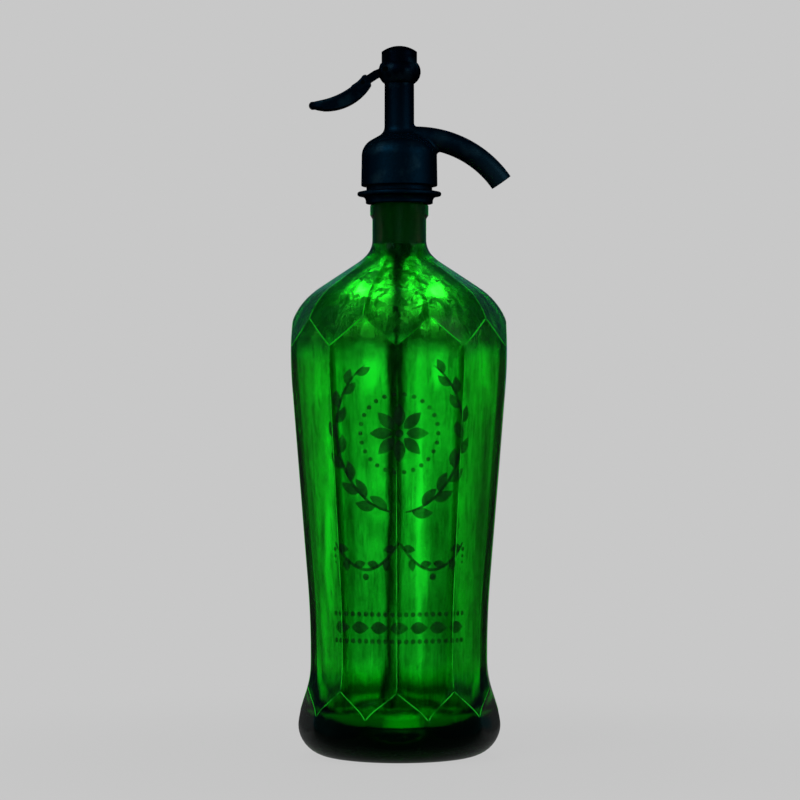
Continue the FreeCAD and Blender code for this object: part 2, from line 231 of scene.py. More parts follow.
# the whole bottle as rings from under the push-up, up the outside, over the lip and down the inside; the
# rows of the outside follow the zigzags, and the columns crowd at the edges
def glassBottle():
    halfPanel = np.pi / bottle["panels"]
    steps = crowded(bottle["columnsPerEdge"] + 1)[:-1] * halfPanel
    angle = (np.arange(2 * bottle["panels"])[:, None] * halfPanel + steps).ravel() + math.radians(bottle["turn"])
    heel, shoulder = [zigzag(angle, *band) for band in bottle["zigzags"]]
    neckFoot = bottle["neck"][0][1]
    heights = np.concatenate([
        heel * crowded(bottle["heelRows"])[:, None],
        heel + (shoulder - heel) * crowded(bottle["bodyRows"])[1:, None],
        shoulder + (neckFoot - shoulder) * crowded(bottle["shoulderRows"])[1:, None],
    ])
    outer, gap = glassRadius(angle[None], heights)
    calm = fade(heights, *bottle["skinFoot"]) * fade(heights, *bottle["skinTop"])
    outer = outer + bottle["skinRipple"] * calm * ripples(angle + bottle["skinPhase"], heights)

    domeRadius = (bottle["standRadius"] ** 2 + bottle["pushUp"] ** 2) / (2 * bottle["pushUp"])
    domeRings = np.linspace(bottle["domeHole"], bottle["standRadius"], bottle["domeRings"])
    dome = np.stack([domeRings, bottle["pushUp"] - domeRadius + np.sqrt(domeRadius ** 2 - domeRings ** 2)], -1)
    neck, inside = [roundedProfile(bottle[part], bottle["profileStep"])[1:] for part in ("neck", "inside")]
    (domeOut, domeUp), (neckOut, neckUp), (hollow, hollowUp) = [
        [np.broadcast_to(profile[:, i:i + 1], (len(profile), len(angle))) for i in (0, 1)]
        for profile in (dome, neck, inside)]
    calm = fade(inside[:, :1], *bottle["rippleRadius"])
    hollow = hollowRadius(hollow, angle[None], hollowUp)
    hollow = hollow + bottle["ripple"] * calm * ripples(angle, hollowUp)

    radius = np.concatenate([domeOut, outer, neckOut, hollow])
    height = np.concatenate([domeUp, heights, neckUp, hollowUp])
    rings = np.stack([radius * np.cos(angle), radius * np.sin(angle), height], -1) * mm
    mesh = ringedMesh("glassBottle", rings, (0, 0, bottle["pushUp"] * mm), (0, 0, bottle["floorHeight"] * mm))
    inner = np.zeros(len(mesh.vertices), np.float32)
    inner[(len(dome) + len(heights) + len(neck)) * len(angle):-2] = 1
    inner[-1] = 1
    mesh.attributes.new("innerWall", "FLOAT", "POINT").data.foreach_set("value", inner)
    # edges rubbed clean, which the shader also paints lighter as highlights
    rubbed = np.zeros(rings.shape[:2], np.float32)
    rubbed[len(dome):len(dome) + len(heights)] = np.clip(1 - gap / bottle["rubbedGap"], 0, 1) ** 2
    rubbed = np.concatenate([rubbed.ravel(), [0, 0]]).astype(np.float32)
    mesh.attributes.new("rubbedAndLitEdge", "FLOAT", "POINT").data.foreach_set("value", rubbed)
    print("glass bottle:", len(rings), "rings of", len(angle), "points,", 2 * len(rings) * len(angle), "triangles")
    return mesh


# emerald soda glass, mould-blown: deep green by depth, its outside dulled but rubbed clean on the edges, which are
# painted lighter as highlights, with a film of lime inside that lies in upright streaks down the body and in clouds
# round the shoulder, and is thickest at the back; painted shade darkens a band round the shoulder, the heel and the
# neck, and patches of painted highlight and painted shade lie on it
# sizes in mm and heights in m; highlight and shade patches are (x, y, z, half-sizes in x, y and z, amount) in mm
emerald = dict(
    density=480.0, tint=(0.05, 0.883, 0.225), ior=1.52, specular=0.2, specularTint="#2c6a4c",
    bloom=0.03, bloomTint="#6fc0b4", polish=0.03, dull=0.10, dullShade=0.6,
    film=0.42, filmFront=0.08, filmShoulder=0.36, filmInHighlights=0.1, frontToBack=(-0.015, 0.015),
    cloudSize=6.0, cloudStretch=(1000, 1000, 420), streakSize=1.6, streakStretch=(1000, 1000, 70),
    streakShare=(0.55, 0.1), patchy=(0.43, 0.58), thickness=(0.4, 1.2), raggedness=(0.5, 1.5), patchEdge=(0.5, 1.2),
    shoulderFoot=(0.165, 0.188), bodyStain=0.8, shoulderStain=0.9, crust=0.24,
    paintedShade=(0.174, 0.182, 0.1965, 0.2), paintedShadeDepth=0.86, heel=(0.004, 0.007, 0.016, 0.032), heelShade=0.96,
    neck=(0.216, 0.228), neckShade=0.35,
    # painted highlights: bright spots round the shoulder, upright bright streaks and a window in the heel; the film is
    # smoother there too
    highlightPatches=[(-15.0, -30, 200.6, 7.4, 30, 3.2, 1.0), (-15.0, 30, 206.0, 9.0, 30, 5.0, 0.85),
          (-25.0, -30, 202.6, 11.0, 30, 3.0, 1.0), (14.8, -30, 200.4, 6.0, 30, 3.2, 1.0),
          (16.0, 30, 206.0, 8.5, 30, 5.0, 0.85), (26.0, -30, 203.0, 9.0, 30, 2.4, 0.8),
          (-35.1, 0, 164.0, 2.2, 90, 14.0, 0.9), (35.3, 0, 167.0, 2.0, 90, 11.0, 0.9),
          (-11.5, 0, 167.0, 6.0, 90, 10.0, 0.9), (16.0, 0, 167.0, 3.5, 90, 9.0, 0.9),
          (-29.5, 0, 100.0, 3.0, 90, 70.0, 0.85), (8.8, 0, 100.0, 3.0, 90, 92.0, 0.9),
          (25.0, -30, 85.0, 2.0, 30, 50.0, 0.6), (-9.0, -30, 120.0, 4.0, 30, 35.0, 0.6),
          (-11.0, -30, 35.0, 7.0, 30, 12.0, 0.7), (1.2, -30, 18.3, 9.0, 30, 4.5, 0.95)],
    # painted shade: dark upright bands down the body and dark patches on the shoulder and its outer edges
    shadePatches=[(-21.0, -30, 100.0, 4.2, 30, 62.0, 0.75), (17.0, -30, 82.0, 5.5, 30, 55.0, 0.75),
           (34.0, -30, 90.0, 6.0, 30, 70.0, 0.85), (-37.0, -30, 80.0, 4.5, 30, 60.0, 0.85),
           (-22.0, -30, 176.0, 8.0, 30, 6.0, 0.6), (-44.0, 0, 187.0, 8.0, 60, 9.0, 0.85),
           (44.0, 0, 187.0, 8.0, 60, 9.0, 0.85)],
)


def emeraldGlass():
    material, tree = newMaterial("emeraldSodaGlass")
    place = addNode(tree, "TexCoord").outputs["Object"]
    apart = addNode(tree, "SeparateXYZ", {0: place}).outputs
    inner = addNode(tree, "Attribute", attribute_name="innerWall").outputs["Fac"]
    rubbedAndLit = addNode(tree, "Attribute", attribute_name="rubbedAndLitEdge").outputs["Fac"]

    # clouds and upright streaks, with more of the streaks in the body
    cloudPlace = addNode(tree, "Mapping", {"Vector": place, "Scale": emerald["cloudStretch"]}).outputs[0]
    streakPlace = addNode(tree, "Mapping", {"Vector": place, "Scale": emerald["streakStretch"]}).outputs[0]
    cloud = addNode(tree, "TexNoise", {"Vector": cloudPlace, "Scale": 1 / emerald["cloudSize"], "Detail": 10.0,
                                       "Roughness": 0.74, "Distortion": 0.6}).outputs[0]
    streak = addNode(tree, "TexNoise", {"Vector": streakPlace, "Scale": 1 / emerald["streakSize"], "Detail": 8.0,
                                        "Roughness": 0.68}).outputs[0]
    high = addNode(tree, "MapRange", {"Value": apart["Z"], "From Min": emerald["shoulderFoot"][0],
                                      "From Max": emerald["shoulderFoot"][1]},
                   interpolation_type="SMOOTHSTEP").outputs[0]
    share = addNode(tree, "MapRange", {"Value": high, "To Min": emerald["streakShare"][0],
                                       "To Max": emerald["streakShare"][1]}).outputs[0]
    both = addNode(tree, "Mix", {"Factor": share, "A": cloud, "B": streak}).outputs[0]

    # painted highlight patches and painted shade patches: ellipsoids with ragged edges
    ragged = addNode(tree, "MapRange", {"Value": cloud, "From Min": 0.3, "From Max": 0.7,
                                        "To Min": emerald["raggedness"][0],
                                        "To Max": emerald["raggedness"][1]}).outputs[0]
    marks = []
    for spots in (emerald["highlightPatches"], emerald["shadePatches"]):
        mark = 0.0
        for x, y, z, wide, deep, tall, amount in spots:
            off = addNode(tree, "Mapping", {"Vector": place, "Location": (-x / wide, -y / deep, -z / tall),
                                            "Scale": (1000 / wide, 1000 / deep, 1000 / tall)}).outputs[0]
            off = addNode(tree, "VectorMath", {0: off}, operation="LENGTH").outputs["Value"]
            off = addNode(tree, "Math", {0: off, 1: ragged}, operation="MULTIPLY").outputs[0]
            spot = addNode(tree, "MapRange", {"Value": off, "From Min": emerald["patchEdge"][0],
                                              "From Max": emerald["patchEdge"][1], "To Min": amount, "To Max": 0.0},
                           interpolation_type="SMOOTHSTEP").outputs[0]
            mark = addNode(tree, "Math", {0: mark, 1: spot}, operation="MAXIMUM").outputs[0]
        marks.append(mark)
    highlightPatches, shadePatches = marks

    # how rough the film and the skin are
    front = addNode(tree, "Mix", {"Factor": high, "A": emerald["filmFront"],
                                  "B": emerald["filmShoulder"]}).outputs[0]
    back = addNode(tree, "MapRange", {"Value": apart["Y"], "From Min": emerald["frontToBack"][0],
                                      "From Max": emerald["frontToBack"][1], "To Min": front,
                                      "To Max": emerald["film"]}, interpolation_type="SMOOTHSTEP").outputs[0]
    patchy = addNode(tree, "MapRange", {"Value": both, "From Min": emerald["patchy"][0],
                                        "From Max": emerald["patchy"][1]}).outputs[0]
    thick = addNode(tree, "MapRange", {"Value": patchy, "To Min": emerald["thickness"][0],
                                       "To Max": emerald["thickness"][1]}).outputs[0]
    film = addNode(tree, "Math", {0: back, 1: thick}, operation="MULTIPLY").outputs[0]
    film = addNode(tree, "Mix", {"Factor": highlightPatches, "A": film, "B": emerald["filmInHighlights"]}).outputs[0]
    skin = addNode(tree, "Mix", {"Factor": rubbedAndLit, "A": emerald["dull"], "B": emerald["polish"]}).outputs[0]
    rough = addNode(tree, "Mix", {"Factor": inner, "A": skin, "B": film}).outputs[0]

    # how far each band of painted shade has come in at this height: round the shoulder, in the heel and in the neck
    bands = [(*emerald["paintedShade"][:2], emerald["paintedShadeDepth"]), (*emerald["paintedShade"][2:], emerald["paintedShadeDepth"]),
             (*emerald["heel"][:2], emerald["heelShade"]), (*emerald["heel"][2:], emerald["heelShade"]),
             (*emerald["neck"], emerald["neckShade"])]
    rise, fall, low, lift, neck = [
        addNode(tree, "MapRange", {"Value": apart["Z"], "From Min": start, "From Max": end, "To Max": stain},
                interpolation_type="SMOOTHSTEP").outputs[0] for start, end, stain in bands]

    # how much the film inside darkens the glass, with painted shade in bands and patches, and painted highlights on
    # the edges and in the highlight patches
    stain = addNode(tree, "Mix", {"Factor": high, "A": emerald["bodyStain"],
                                  "B": emerald["shoulderStain"]}).outputs[0]
    stain = addNode(tree, "Math", {0: stain, 1: patchy}, operation="MULTIPLY").outputs[0]
    shade = addNode(tree, "Math", {0: 1.0, 1: stain}, operation="SUBTRACT").outputs[0]
    # painted shade: a dark band round the shoulder, joined with the shade patches
    paintedShade = addNode(tree, "Math", {0: rise, 1: fall}, operation="SUBTRACT").outputs[0]
    paintedShade = addNode(tree, "Math", {0: paintedShade, 1: shadePatches}, operation="MAXIMUM").outputs[0]
    clear = addNode(tree, "Math", {0: 1.0, 1: paintedShade}, operation="SUBTRACT").outputs[0]
    shade = addNode(tree, "Math", {0: shade, 1: clear}, operation="MULTIPLY").outputs[0]
    # painted highlight: the outside tint is lighter along the rubbed edges
    skinShade = addNode(tree, "Mix", {"Factor": rubbedAndLit, "A": emerald["dullShade"], "B": 1.0}).outputs[0]
    # painted shade: the skin darkens over the heel and the neck
    heelAndNeckShade = addNode(tree, "Math", {0: low, 1: lift}, operation="SUBTRACT").outputs[0]
    heelAndNeckShade = addNode(tree, "Math", {0: heelAndNeckShade, 1: neck}, operation="MAXIMUM").outputs[0]
    unshadedSkin = addNode(tree, "Math", {0: 1.0, 1: heelAndNeckShade}, operation="SUBTRACT").outputs[0]
    skinShade = addNode(tree, "Math", {0: skinShade, 1: unshadedSkin}, operation="MULTIPLY").outputs[0]
    shade = addNode(tree, "Mix", {"Factor": inner, "A": skinShade, "B": shade}).outputs[0]
    # painted highlight: the tint goes clear in the highlight patches
    shade = addNode(tree, "Mix", {"Factor": highlightPatches, "A": shade, "B": 1.0}).outputs[0]
    tint = addNode(tree, "CombineColor", {0: shade, 1: shade, 2: shade}).outputs[0]

    crust = addNode(tree, "Mix", {"Factor": highlightPatches, "A": both, "B": 0.5}).outputs[0]
    crust = addNode(tree, "Math", {0: crust, 1: inner}, operation="MULTIPLY").outputs[0]
    bump = addNode(tree, "Bump", {"Height": crust, "Strength": 0.6, "Distance": emerald["crust"] * mm}).outputs[0]
    shader = addNode(tree, "BsdfPrincipled", {
        "Base Color": tint, "Roughness": rough, "IOR": emerald["ior"], "Transmission Weight": 1.0,
        "Specular IOR Level": emerald["specular"], "Specular Tint": hexColour(emerald["specularTint"]), "Normal": bump,
        "Sheen Weight": emerald["bloom"], "Sheen Roughness": 0.5, "Sheen Tint": hexColour(emerald["bloomTint"]),
    })
    depth = addNode(tree, "VolumeAbsorption", {"Color": (*emerald["tint"], 1), "Density": emerald["density"]})
    addNode(tree, "OutputMaterial", {"Surface": shader.outputs[0], "Volume": depth.outputs[0]})
    return material


glass = addPiece(glassBottle(), emeraldGlass())
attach(glass, "bottle")
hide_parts("glass_bottle")


# etched ornament: a rosette and a ring of dots in a wreath of leaves, with swags and a beaded band below,
# in mm across the front and up the bottle
ornament = dict(
    chart=44.0, lift=0.05, rise=0.08, sides=6, points=40,
    rosette=(0.0, 141.0), hub=1.7, petals=8, petal=(2.8, 12.5, 2.5), ring=(16.5, 26, 0.95),
    wreath=(27.0, 33.5), wreathArc=(4, 150), wreathLeaves=13, leaf=(9.6, 2.3), leafLean=0.62, leafBend=0.25, stem=0.6,
    swagTop=95.0, swagDrop=12.0, swagHalf=31.0, swagLeaves=6, swagRoots=(2, 12), swagLean=0.7, swagLeaf=(0.6, 0.75),
    swagDot=(3.0, 1.5), tassel=(3.4, 6.4, 9.0), tasselDot=(1.3, 0.08),
    bead=(64.0, 52.5, 1.1), beads=21, beadReach=33, lozenge=(4.4, 2.6), lozenges=7, lozengeReach=29,
)


# a stroke along a middle line with a half-width at each point, laid on the glass: each point becomes a
# small ring whose outer half stands a hair proud, and the ends close in poles
def etchedStroke(line, half):
    way = np.gradient(line, axis=0)
    way /= np.hypot(way[:, 0], way[:, 1])[:, None]
    across = np.stack([-way[:, 1], way[:, 0]], -1)
    turn = np.linspace(0, 2 * np.pi, ornament["sides"], endpoint=False)
    ring = line[1:-1, None] + across[1:-1, None] * (half[1:-1, None] * np.cos(turn))[..., None]
    flat = np.concatenate([line[:1], ring.reshape(-1, 2), line[-1:]])
    proud = np.concatenate([[0.5], np.tile(0.5 + 0.5 * np.sin(turn), len(line) - 2), [0.5]])
    angle = flat[:, 0] / ornament["chart"] - np.pi / 2
    radius = glassRadius(angle, flat[:, 1])[0] + ornament["lift"] + ornament["rise"] * proud
    return np.stack([radius * np.cos(angle), radius * np.sin(angle), flat[:, 1]], -1) * mm


# a leaf from its root along a heading, bent a little, widest before its middle
def leafStroke(root, heading, length, width, bend=0.0, count=9):
    s = np.linspace(0, 1, count)
    turn = heading + bend * s
    line = np.array(root) + length * s[:, None] * np.stack([np.cos(turn), np.sin(turn)], -1)
    return line, width * np.sin(np.pi * s ** 0.85) ** 0.9


# a round dot as an upright stroke whose half-width follows a circle
def dotStroke(centre, size, count=7):
    s = np.linspace(-1, 1, count)
    return np.array(centre) + np.stack([0 * s, size * s], -1), size * np.sqrt(np.clip(1 - s ** 2, 0, 1))


# petals and dots stand evenly round the rosette, the wreath's stems are arcs of an ellipse, and the swags
# are parabolas
def ornamentStrokes():
    centre = np.array(ornament["rosette"])
    near, far, width = ornament["petal"]
    strokes = [dotStroke(centre, ornament["hub"])]
    for a in np.arange(ornament["petals"]) * 2 * np.pi / ornament["petals"] + np.pi / 2:
        strokes.append(leafStroke(centre + near * np.array([math.cos(a), math.sin(a)]), a, far - near, width))
    radius, count, size = ornament["ring"]
    for a in np.arange(count) * 2 * np.pi / count:
        strokes.append(dotStroke(centre + radius * np.array([math.cos(a), math.sin(a)]), size))
    wide, tall = ornament["wreath"]
    length, width = ornament["leaf"]
    points = ornament["points"]
    for side in (-1, 1):
        a = np.radians(np.linspace(*ornament["wreathArc"], points))
        stem = centre + np.stack([side * wide * np.sin(a), -tall * np.cos(a)], -1)
        strokes.append((stem, ornament["stem"] * np.sin(np.linspace(0.15, np.pi, points)) ** 0.3))
        for k, share in enumerate(np.linspace(0.06, 0.97, ornament["wreathLeaves"])):
            i = int(share * (points - 2))
            step = stem[i + 1] - stem[i]
            hand = 1 if k % 2 else -1
            heading = math.atan2(step[1], step[0]) + hand * ornament["leafLean"]
            strokes.append(leafStroke(stem[i], heading, length * (1.05 - 0.35 * share), width * (1.05 - 0.3 * share),
                                      bend=-hand * ornament["leafBend"]))
        s = np.linspace(0, 1, points)
        swag = np.stack([side * ornament["swagHalf"] * s,
                         ornament["swagTop"] - 4 * ornament["swagDrop"] * s * (1 - s)], -1)
        strokes.append((swag, ornament["stem"] + 0 * s))
        longer, wider = ornament["swagLeaf"]
        for end in (0, points - 1):
            for k, i in enumerate(np.linspace(*ornament["swagRoots"], ornament["swagLeaves"] // 2).astype(int)):
                step = swag[abs(end - i - 1)] - swag[abs(end - i)]
                hand = (1 if k % 2 else -1) * (1 if end else -1) * side
                heading = math.atan2(step[1], step[0]) + hand * ornament["swagLean"]
                strokes.append(leafStroke(swag[abs(end - i)], heading, length * longer, width * wider))
        below, size = ornament["swagDot"]
        strokes.append(dotStroke(swag[points // 2] - (0, below), size))
        first, shrink = ornament["tasselDot"]
        for fall in ornament["tassel"]:
            strokes.append(dotStroke((side * ornament["swagHalf"], ornament["swagTop"] - fall), first - shrink * fall))
    high, low, size = ornament["bead"]
    for across in np.linspace(-1, 1, ornament["beads"]) * ornament["beadReach"]:
        strokes += [dotStroke((across, z), size) for z in (high, low)]
    wide, tall = ornament["lozenge"]
    for across in np.linspace(-1, 1, ornament["lozenges"]) * ornament["lozengeReach"]:
        strokes.append(leafStroke((across - wide, (high + low) / 2), 0.0, 2 * wide, tall))
    return strokes


# all strokes of one kind in one mesh: each is a run of small rings with a pole at either end
def strokesMesh(name, strokes):
    corners, faces, first = [], [], 0
    sides = ornament["sides"]
    for line, half in strokes:
        points = etchedStroke(line, half)
        index = np.arange(len(points) - 2).reshape(-1, sides) + 1 + first
        beside = np.roll(index, -1, axis=1)
        faces += np.stack([index[:-1], index[1:], beside[1:], beside[:-1]], -1).reshape(-1, 4).tolist()
        faces += np.stack([np.full(sides, first), index[0], beside[0]], -1).tolist()
        faces += np.stack([np.full(sides, first + len(points) - 1), beside[-1], index[-1]], -1).tolist()
        corners.append(points)
        first += len(points)
    mesh = smoothMesh(name, np.concatenate(corners), faces)
    print(name, len(corners), "strokes,", len(mesh.polygons), "faces")
    return mesh


# acid-etched glass: a fine frost that throws the light aside, so it looks dark against the glow and
# grey-green from the front; its pits and worn patches in mm
etch = dict(frost="#0a3318", pit=0.6, wear=9.0, alpha=0.62, thin=0.6)


def acidEtch():
    material, tree = newMaterial("acidEtchedFrost")
    place = addNode(tree, "TexCoord").outputs["Object"]
    grit = addNode(tree, "TexNoise", {"Vector": place, "Scale": 1000 / etch["pit"], "Detail": 2.0}).outputs[0]
    worn = addNode(tree, "TexNoise", {"Vector": place, "Scale": 1000 / etch["wear"], "Detail": 3.0}).outputs[0]
    cover = addNode(tree, "MapRange", {"Value": worn, "From Min": 0.3, "From Max": 0.6,
                                       "To Min": etch["alpha"] * etch["thin"], "To Max": etch["alpha"]}).outputs[0]
    bump = addNode(tree, "Bump", {"Height": grit, "Strength": 0.3, "Distance": 0.1 * mm}).outputs[0]
    shader = addNode(tree, "BsdfPrincipled", {"Base Color": hexColour(etch["frost"]), "Roughness": 0.8, "Alpha": cover,
                                              "Normal": bump, "Specular IOR Level": 0.2})
    addNode(tree, "OutputMaterial", {"Surface": shader.outputs[0]})
    return material


# painted highlights along the edges: bright green strips laid on the glass that stand in for the light the edges
# catch; on the front of the shoulder they are nearly faded out, and the front edge stops short
edgeHighlight = dict(half=0.25, upright=0.25, faint=0.06, frontZigzag=0.94, frontUpright=0.97, frontEnd=0.66, crownReach=24,
             thinning=(0.3, 0.7), run=(0.003, 0.497), points=30, uprightPoints=60,
             glow="#30ff3c", wear=9.0, alpha=(0.15, 0.9))


# the edges of the panels: zigzags round shoulder and heel, uprights between tall panels, and the edges of
# the short panels, which fade away from the zigzags
def edgeStrokes():
    turn, pitch = math.radians(bottle["turn"]), 2 * np.pi / bottle["panels"]
    shoulderBand = bottle["zigzags"][1]
    strokes = []
    for centre in turn + np.arange(bottle["panels"]) * pitch:
        for band in bottle["zigzags"]:
            for side in (0.0, 0.5):
                angle = centre + pitch * (side + np.linspace(*edgeHighlight["run"], edgeHighlight["points"]))
                faint = band == shoulderBand and -math.sin(angle.mean()) > edgeHighlight["frontZigzag"]
                half = edgeHighlight["faint" if faint else "half"]
                strokes.append((angle, zigzag(angle, *band), np.full(edgeHighlight["points"], half)))
        heel, shoulder = [zigzag(np.array([centre + pitch / 2]), *band)[0] for band in bottle["zigzags"]]
        crown = zigzag(np.array([centre]), *shoulderBand)[0]
        s = np.linspace(0, 1, edgeHighlight["uprightPoints"])
        if -math.sin(centre + pitch / 2) > edgeHighlight["frontUpright"]:
            shoulder = heel + edgeHighlight["frontEnd"] * (shoulder - heel)
        for share, start, end, thinning in ((0.5, heel, shoulder, edgeHighlight["thinning"][0]),
                                            (0.0, crown, crown + edgeHighlight["crownReach"], edgeHighlight["thinning"][1])):
            strokes.append((centre + pitch * share + 0 * s, start + (end - start) * s,
                            edgeHighlight["upright"] * (1 - s) ** thinning))
    chart = ornament["chart"]
    return [(np.stack([(angle + np.pi / 2) * chart, z], -1), half) for angle, z, half in strokes]


def paintedEdgeLight():
    material, tree = newMaterial("paintedEdgeHighlight")
    place = addNode(tree, "TexCoord").outputs["Object"]
    wear = addNode(tree, "TexNoise", {"Vector": place, "Scale": 1000 / edgeHighlight["wear"], "Detail": 4.0}).outputs[0]
    cover = addNode(tree, "MapRange", {"Value": wear, "From Min": 0.36, "From Max": 0.6,
                                       "To Min": edgeHighlight["alpha"][0], "To Max": edgeHighlight["alpha"][1]}).outputs[0]
    # painted highlight: a bright green colour in place of the light the edges catch
    shader = addNode(tree, "BsdfPrincipled", {"Base Color": hexColour(edgeHighlight["glow"]), "Roughness": 0.6, "Alpha": cover,
                                              "Specular IOR Level": 0.0})
    addNode(tree, "OutputMaterial", {"Surface": shader.outputs[0]})
    return material


for name, strokes, finish in (("etchedOrnament", ornamentStrokes(), acidEtch()),
                              ("panelEdgeHighlights", edgeStrokes(), paintedEdgeLight())):
    piece = addPiece(strokesMesh(name, strokes), finish)
    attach(piece, "bottle")


# cast tin alloy, blackened by age: near black, faintly blue, satin, with painted shade darkening it towards its top,
# and rubbed lighter at the spout's end; heights and places in m, grain and patches in mm
pewter = dict(dark="#08283b", topShadeColour="#040f1d", topShade=(0.266, 0.3), worn="#264352", spoutEnd=(0.042, 0, 0.2525),
              rubbedReach=0.015, rubbed=0.9, rough=0.48, roughSpread=0.1, edgeTint="#26343f", grain=1.1, patch=8.3)


def blackPewter():
    material, tree = newMaterial("blackenedPewter")
    place = addNode(tree, "TexCoord").outputs["Object"]
    grain = addNode(tree, "TexNoise", {"Vector": place, "Scale": 1000 / pewter["grain"], "Detail": 4.0}).outputs[0]
    patch = addNode(tree, "TexNoise", {"Vector": place, "Scale": 1000 / pewter["patch"], "Detail": 3.0}).outputs[0]
    worn = addNode(tree, "MapRange", {"Value": patch, "From Min": 0.52, "From Max": 0.75}).outputs[0]
    off = addNode(tree, "VectorMath", {0: place, 1: pewter["spoutEnd"]}, operation="DISTANCE").outputs["Value"]
    rubbed = addNode(tree, "MapRange", {"Value": off, "From Min": 0.3 * pewter["rubbedReach"],
                                        "From Max": pewter["rubbedReach"], "To Min": pewter["rubbed"],
                                        "To Max": 0.0}).outputs[0]
    worn = addNode(tree, "Math", {0: worn, 1: rubbed}, operation="MAXIMUM").outputs[0]
    height = addNode(tree, "SeparateXYZ", {0: place}).outputs["Z"]
    # painted shade: the colour darkens towards the top
    topShade = addNode(tree, "MapRange", {"Value": height, "From Min": pewter["topShade"][0],
                                      "From Max": pewter["topShade"][1]}).outputs[0]
    colour = addNode(tree, "Mix", {"Factor": topShade, "A": hexColour(pewter["dark"]), "B": hexColour(pewter["topShadeColour"])},
                     data_type="RGBA").outputs[2]
    colour = addNode(tree, "Mix", {"Factor": worn, "A": colour, "B": hexColour(pewter["worn"])},
                     data_type="RGBA").outputs[2]
    rough = addNode(tree, "MapRange", {"Value": grain, "To Min": pewter["rough"] - pewter["roughSpread"],
                                       "To Max": pewter["rough"] + pewter["roughSpread"]}).outputs[0]
    bump = addNode(tree, "Bump", {"Height": grain, "Strength": 0.25, "Distance": 0.3 * mm}).outputs[0]
    shader = addNode(tree, "BsdfPrincipled", {"Base Color": colour, "Metallic": 1.0, "Roughness": rough,
                                              "Normal": bump, "Specular Tint": hexColour(pewter["edgeTint"])})
    addNode(tree, "OutputMaterial", {"Surface": shader.outputs[0]})
    return material


# a finish that clouds between two colours, in patches of a size in mm
def cloudedMaterial(name, low, high, patch, rough, metallic=0.0):
    material, tree = newMaterial(name)
    place = addNode(tree, "TexCoord").outputs["Object"]
    cloud = addNode(tree, "TexNoise", {"Vector": place, "Scale": 1000 / patch, "Detail": 4.0}).outputs[0]
    colour = addNode(tree, "Mix", {"Factor": cloud, "A": hexColour(low), "B": hexColour(high)},
                     data_type="RGBA").outputs[2]
    shader = addNode(tree, "BsdfPrincipled", {"Base Color": colour, "Metallic": metallic, "Roughness": rough})
    addNode(tree, "OutputMaterial", {"Surface": shader.outputs[0]})
    return material


# drawn glass tube: darker over its upper half, and lower down one side of it is painted dark as shade; heights
# and widths in m, streaks in mm, and the lean is the axis's shift at the foot over the height given
tube = dict(clear="#dfe8d8", darkened="#35482e", streak=2.9, stretch=(1000, 1000, 60), rough=(0.15, 0.4), ior=1.5,
            lean=(-0.00393, 0.25), sideEdge=0.0008, darkenedFrom=(0.09, 0.17), tint=(0.2, 0.36, 0.15), density=120.0)


def tubeGlass():
    material, tree = newMaterial("tubeGlassPaintedShade")
    place = addNode(tree, "TexCoord").outputs["Object"]
    apart = addNode(tree, "SeparateXYZ", {0: place}).outputs
    streaky = addNode(tree, "Mapping", {"Vector": place, "Scale": tube["stretch"]}).outputs[0]
    film = addNode(tree, "TexNoise", {"Vector": streaky, "Scale": 1 / tube["streak"], "Detail": 4.0}).outputs[0]
    rough = addNode(tree, "MapRange", {"Value": film, "To Min": tube["rough"][0],
                                       "To Max": tube["rough"][1]}).outputs[0]
    axis = addNode(tree, "MapRange", {"Value": apart["Z"], "From Max": tube["lean"][1], "To Min": tube["lean"][0],
                                      "To Max": 0.0}).outputs[0]
    off = addNode(tree, "Math", {0: apart["X"], 1: axis}, operation="SUBTRACT").outputs[0]
    # painted shade: the tube's side towards -x is dark all the way down
    side = addNode(tree, "MapRange", {"Value": off, "From Min": -tube["sideEdge"], "From Max": tube["sideEdge"],
                                      "To Min": 1.0, "To Max": 0.0}).outputs[0]
    upper = addNode(tree, "MapRange", {"Value": apart["Z"], "From Min": tube["darkenedFrom"][0],
                                       "From Max": tube["darkenedFrom"][1]}).outputs[0]
    darkening = addNode(tree, "Math", {0: side, 1: upper}, operation="MAXIMUM").outputs[0]
    colour = addNode(tree, "Mix", {"Factor": darkening, "A": hexColour(tube["clear"]), "B": hexColour(tube["darkened"])},
                     data_type="RGBA").outputs[2]
    shader = addNode(tree, "BsdfPrincipled", {"Base Color": colour, "Roughness": rough, "IOR": tube["ior"],
                                              "Transmission Weight": 1.0})
    depth = addNode(tree, "VolumeAbsorption", {"Color": (*tube["tint"], 1), "Density": tube["density"]})
    addNode(tree, "OutputMaterial", {"Surface": shader.outputs[0], "Volume": depth.outputs[0]})
    return material


finishes = {
    "dark_pewter": blackPewter(),
    # turned brass, dulled by age: brown in patches and a soft yellow between them
    "brass": cloudedMaterial("dulledBrass", "#6a5426", "#a98a4a", 3.3, 0.38, 1.0),
    # moulded rubber, bloomed with age: matt and a dark blue-grey
    "black_rubber": cloudedMaterial("oldBlackRubber", "#22424a", "#305258", 2.5, 0.75),
    # pressed leather, greased: dark brown with a dull shine
    "cup_leather": cloudedMaterial("greasedLeather", "#2c1a0d", "#4a2f18", 2.0, 0.6),
    # drawn steel wire: grey with a plain shine
    "spring_steel": cloudedMaterial("drawnSpringSteel", "#6f6f6d", "#8d8d8a", 1.4, 0.35, 1.0),
    "tube_glass": tubeGlass(),
}
for row in frame["record"]["subparts"]:
    if row["material_slot"] in finishes:
        mesh = frame["nodes"][row["node"]].data
        mesh.materials.clear()
        mesh.materials.append(finishes[row["material_slot"]])
